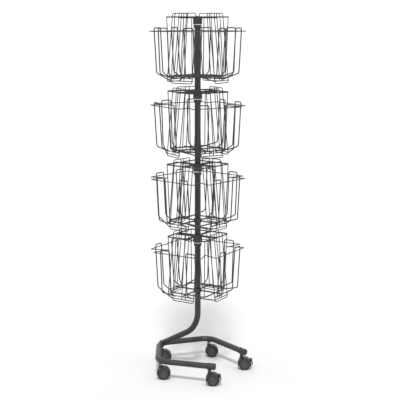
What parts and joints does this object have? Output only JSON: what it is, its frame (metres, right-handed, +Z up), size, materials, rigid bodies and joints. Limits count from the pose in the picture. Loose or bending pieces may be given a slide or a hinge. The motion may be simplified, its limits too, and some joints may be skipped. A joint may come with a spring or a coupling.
{
  "type": "rotating display rack",
  "caption": "Floor-standing wire leaflet rack with tiers that turn on a centre pole, on a bent-tube base with casters.",
  "frame": {"origin": "on the floor at the middle of the rack's outline at rest; the pole's axis stands at x 11.8 mm, y -7.7 mm", "axes": "+Z up along the pole; +X towards the open side of the base, so that the base tube is symmetric about an XZ plane through the pole"},
  "size_m": [0.4132, 0.4188, 1.524],
  "materials": {
    "coated_wire": "charcoal powder coat, satin",
    "coated_tube": "charcoal powder coat, satin",
    "nylon_washer": "natural nylon, satin",
    "caster_plastic": "moulded black nylon, fine texture",
    "wheel_plastic": "moulded dark grey nylon, satin"
  },
  "bodies": {
    "stand": {"base_tube": "coated_tube", "leg_cap_left": "caster_plastic", "leg_cap_right": "caster_plastic", "riser_tube": "coated_tube", "pole_tube": "coated_tube", "pole_cap": "caster_plastic", "tier1_washer": "nylon_washer", "tier1_collar": "coated_tube", "tier2_washer": "nylon_washer", "tier2_collar": "coated_tube", "tier3_washer": "nylon_washer", "tier3_collar": "coated_tube", "tier4_washer": "nylon_washer", "tier4_collar": "coated_tube"},
    "tier_1": {"tier1_hub": "coated_tube", "tier1_top_frame": "coated_wire", "tier1_bottom_frame": "coated_wire", "tier1_face_a": "coated_wire", "tier1_face_b": "coated_wire", "tier1_face_c": "coated_wire", "tier1_face_d": "coated_wire"},
    "tier_2": {"tier2_hub": "coated_tube", "tier2_top_frame": "coated_wire", "tier2_bottom_frame": "coated_wire", "tier2_face_a": "coated_wire", "tier2_face_b": "coated_wire", "tier2_face_c": "coated_wire", "tier2_face_d": "coated_wire"},
    "tier_3": {"tier3_hub": "coated_tube", "tier3_top_frame": "coated_wire", "tier3_bottom_frame": "coated_wire", "tier3_face_a": "coated_wire", "tier3_face_b": "coated_wire", "tier3_face_c": "coated_wire", "tier3_face_d": "coated_wire"},
    "tier_4": {"tier4_hub": "coated_tube", "tier4_top_frame": "coated_wire", "tier4_bottom_frame": "coated_wire", "tier4_face_a": "coated_wire", "tier4_face_b": "coated_wire", "tier4_face_c": "coated_wire", "tier4_face_d": "coated_wire"},
    "caster_a": {"caster_a_housing": "caster_plastic"},
    "caster_a_wheel_left": {"caster_a_wheel_left": "wheel_plastic"},
    "caster_a_wheel_right": {"caster_a_wheel_right": "wheel_plastic"},
    "caster_b": {"caster_b_housing": "caster_plastic"},
    "caster_b_wheel_left": {"caster_b_wheel_left": "wheel_plastic"},
    "caster_b_wheel_right": {"caster_b_wheel_right": "wheel_plastic"},
    "caster_c": {"caster_c_housing": "caster_plastic"},
    "caster_c_wheel_left": {"caster_c_wheel_left": "wheel_plastic"},
    "caster_c_wheel_right": {"caster_c_wheel_right": "wheel_plastic"},
    "caster_d": {"caster_d_housing": "caster_plastic"},
    "caster_d_wheel_left": {"caster_d_wheel_left": "wheel_plastic"},
    "caster_d_wheel_right": {"caster_d_wheel_right": "wheel_plastic"},
    "brake_lever_d": {"caster_d_brake_lever": "caster_plastic"},
    "caster_e": {"caster_e_housing": "caster_plastic"},
    "caster_e_wheel_left": {"caster_e_wheel_left": "wheel_plastic"},
    "caster_e_wheel_right": {"caster_e_wheel_right": "wheel_plastic"},
    "brake_lever_e": {"caster_e_brake_lever": "caster_plastic"}
  },
  "joints": [
    {"name": "tier_1_spin", "type": "hinge", "parent": "stand", "child": "tier_1", "pos_m": [0.0118, -0.00774, 1.494], "axis": [0, 0, 1], "continuous": true},
    {"name": "tier_2_spin", "type": "hinge", "parent": "stand", "child": "tier_2", "pos_m": [0.0118, -0.00774, 1.191], "axis": [0, 0, 1], "continuous": true},
    {"name": "tier_3_spin", "type": "hinge", "parent": "stand", "child": "tier_3", "pos_m": [0.0118, -0.00774, 0.888], "axis": [0, 0, 1], "continuous": true},
    {"name": "tier_4_spin", "type": "hinge", "parent": "stand", "child": "tier_4", "pos_m": [0.0118, -0.00774, 0.585], "axis": [0, 0, 1], "continuous": true},
    {"name": "caster_a_swivel", "type": "hinge", "parent": "stand", "child": "caster_a", "pos_m": [-0.05408, -0.18588, 0.07], "axis": [0, 0, 1], "continuous": true},
    {"name": "caster_a_left_wheel_roll", "type": "hinge", "parent": "caster_a", "child": "caster_a_wheel_left", "pos_m": [-0.04356, -0.17824, 0.025], "axis": [-0.5878, 0.809, 0], "continuous": true},
    {"name": "caster_a_right_wheel_roll", "type": "hinge", "parent": "caster_a", "child": "caster_a_wheel_right", "pos_m": [-0.04356, -0.17824, 0.025], "axis": [-0.5878, 0.809, 0], "continuous": true},
    {"name": "caster_b_swivel", "type": "hinge", "parent": "stand", "child": "caster_b", "pos_m": [-0.18351, -0.00774, 0.07], "axis": [0, 0, 1], "continuous": true},
    {"name": "caster_b_left_wheel_roll", "type": "hinge", "parent": "caster_b", "child": "caster_b_wheel_left", "pos_m": [-0.173, -0.0001, 0.025], "axis": [-0.5878, 0.809, 0], "continuous": true},
    {"name": "caster_b_right_wheel_roll", "type": "hinge", "parent": "caster_b", "child": "caster_b_wheel_right", "pos_m": [-0.173, -0.0001, 0.025], "axis": [-0.5878, 0.809, 0], "continuous": true},
    {"name": "caster_c_swivel", "type": "hinge", "parent": "stand", "child": "caster_c", "pos_m": [-0.05408, 0.17041, 0.07], "axis": [0, 0, 1], "continuous": true},
    {"name": "caster_c_left_wheel_roll", "type": "hinge", "parent": "caster_c", "child": "caster_c_wheel_left", "pos_m": [-0.04356, 0.17805, 0.025], "axis": [-0.5878, 0.809, 0], "continuous": true},
    {"name": "caster_c_right_wheel_roll", "type": "hinge", "parent": "caster_c", "child": "caster_c_wheel_right", "pos_m": [-0.04356, 0.17805, 0.025], "axis": [-0.5878, 0.809, 0], "continuous": true},
    {"name": "caster_d_swivel", "type": "hinge", "parent": "stand", "child": "caster_d", "pos_m": [0.15872, 0.11332, 0.07], "axis": [0, 0, 1], "continuous": true},
    {"name": "caster_d_left_wheel_roll", "type": "hinge", "parent": "caster_d", "child": "caster_d_wheel_left", "pos_m": [0.16924, 0.12096, 0.025], "axis": [-0.5878, 0.809, 0], "continuous": true},
    {"name": "caster_d_right_wheel_roll", "type": "hinge", "parent": "caster_d", "child": "caster_d_wheel_right", "pos_m": [0.16924, 0.12096, 0.025], "axis": [-0.5878, 0.809, 0], "continuous": true},
    {"name": "caster_d_brake_press", "type": "hinge", "parent": "caster_d", "child": "brake_lever_d", "pos_m": [0.19194, 0.13745, 0.0412], "axis": [-0.5878, 0.809, 0], "range_deg": [0, 6]},
    {"name": "caster_e_swivel", "type": "hinge", "parent": "stand", "child": "caster_e", "pos_m": [0.15872, -0.12879, 0.07], "axis": [0, 0, 1], "continuous": true},
    {"name": "caster_e_left_wheel_roll", "type": "hinge", "parent": "caster_e", "child": "caster_e_wheel_left", "pos_m": [0.16924, -0.12115, 0.025], "axis": [-0.5878, 0.809, 0], "continuous": true},
    {"name": "caster_e_right_wheel_roll", "type": "hinge", "parent": "caster_e", "child": "caster_e_wheel_right", "pos_m": [0.16924, -0.12115, 0.025], "axis": [-0.5878, 0.809, 0], "continuous": true},
    {"name": "caster_e_brake_press", "type": "hinge", "parent": "caster_e", "child": "brake_lever_e", "pos_m": [0.19194, -0.10466, 0.0412], "axis": [-0.5878, 0.809, 0], "range_deg": [0, 6]}
  ]
}
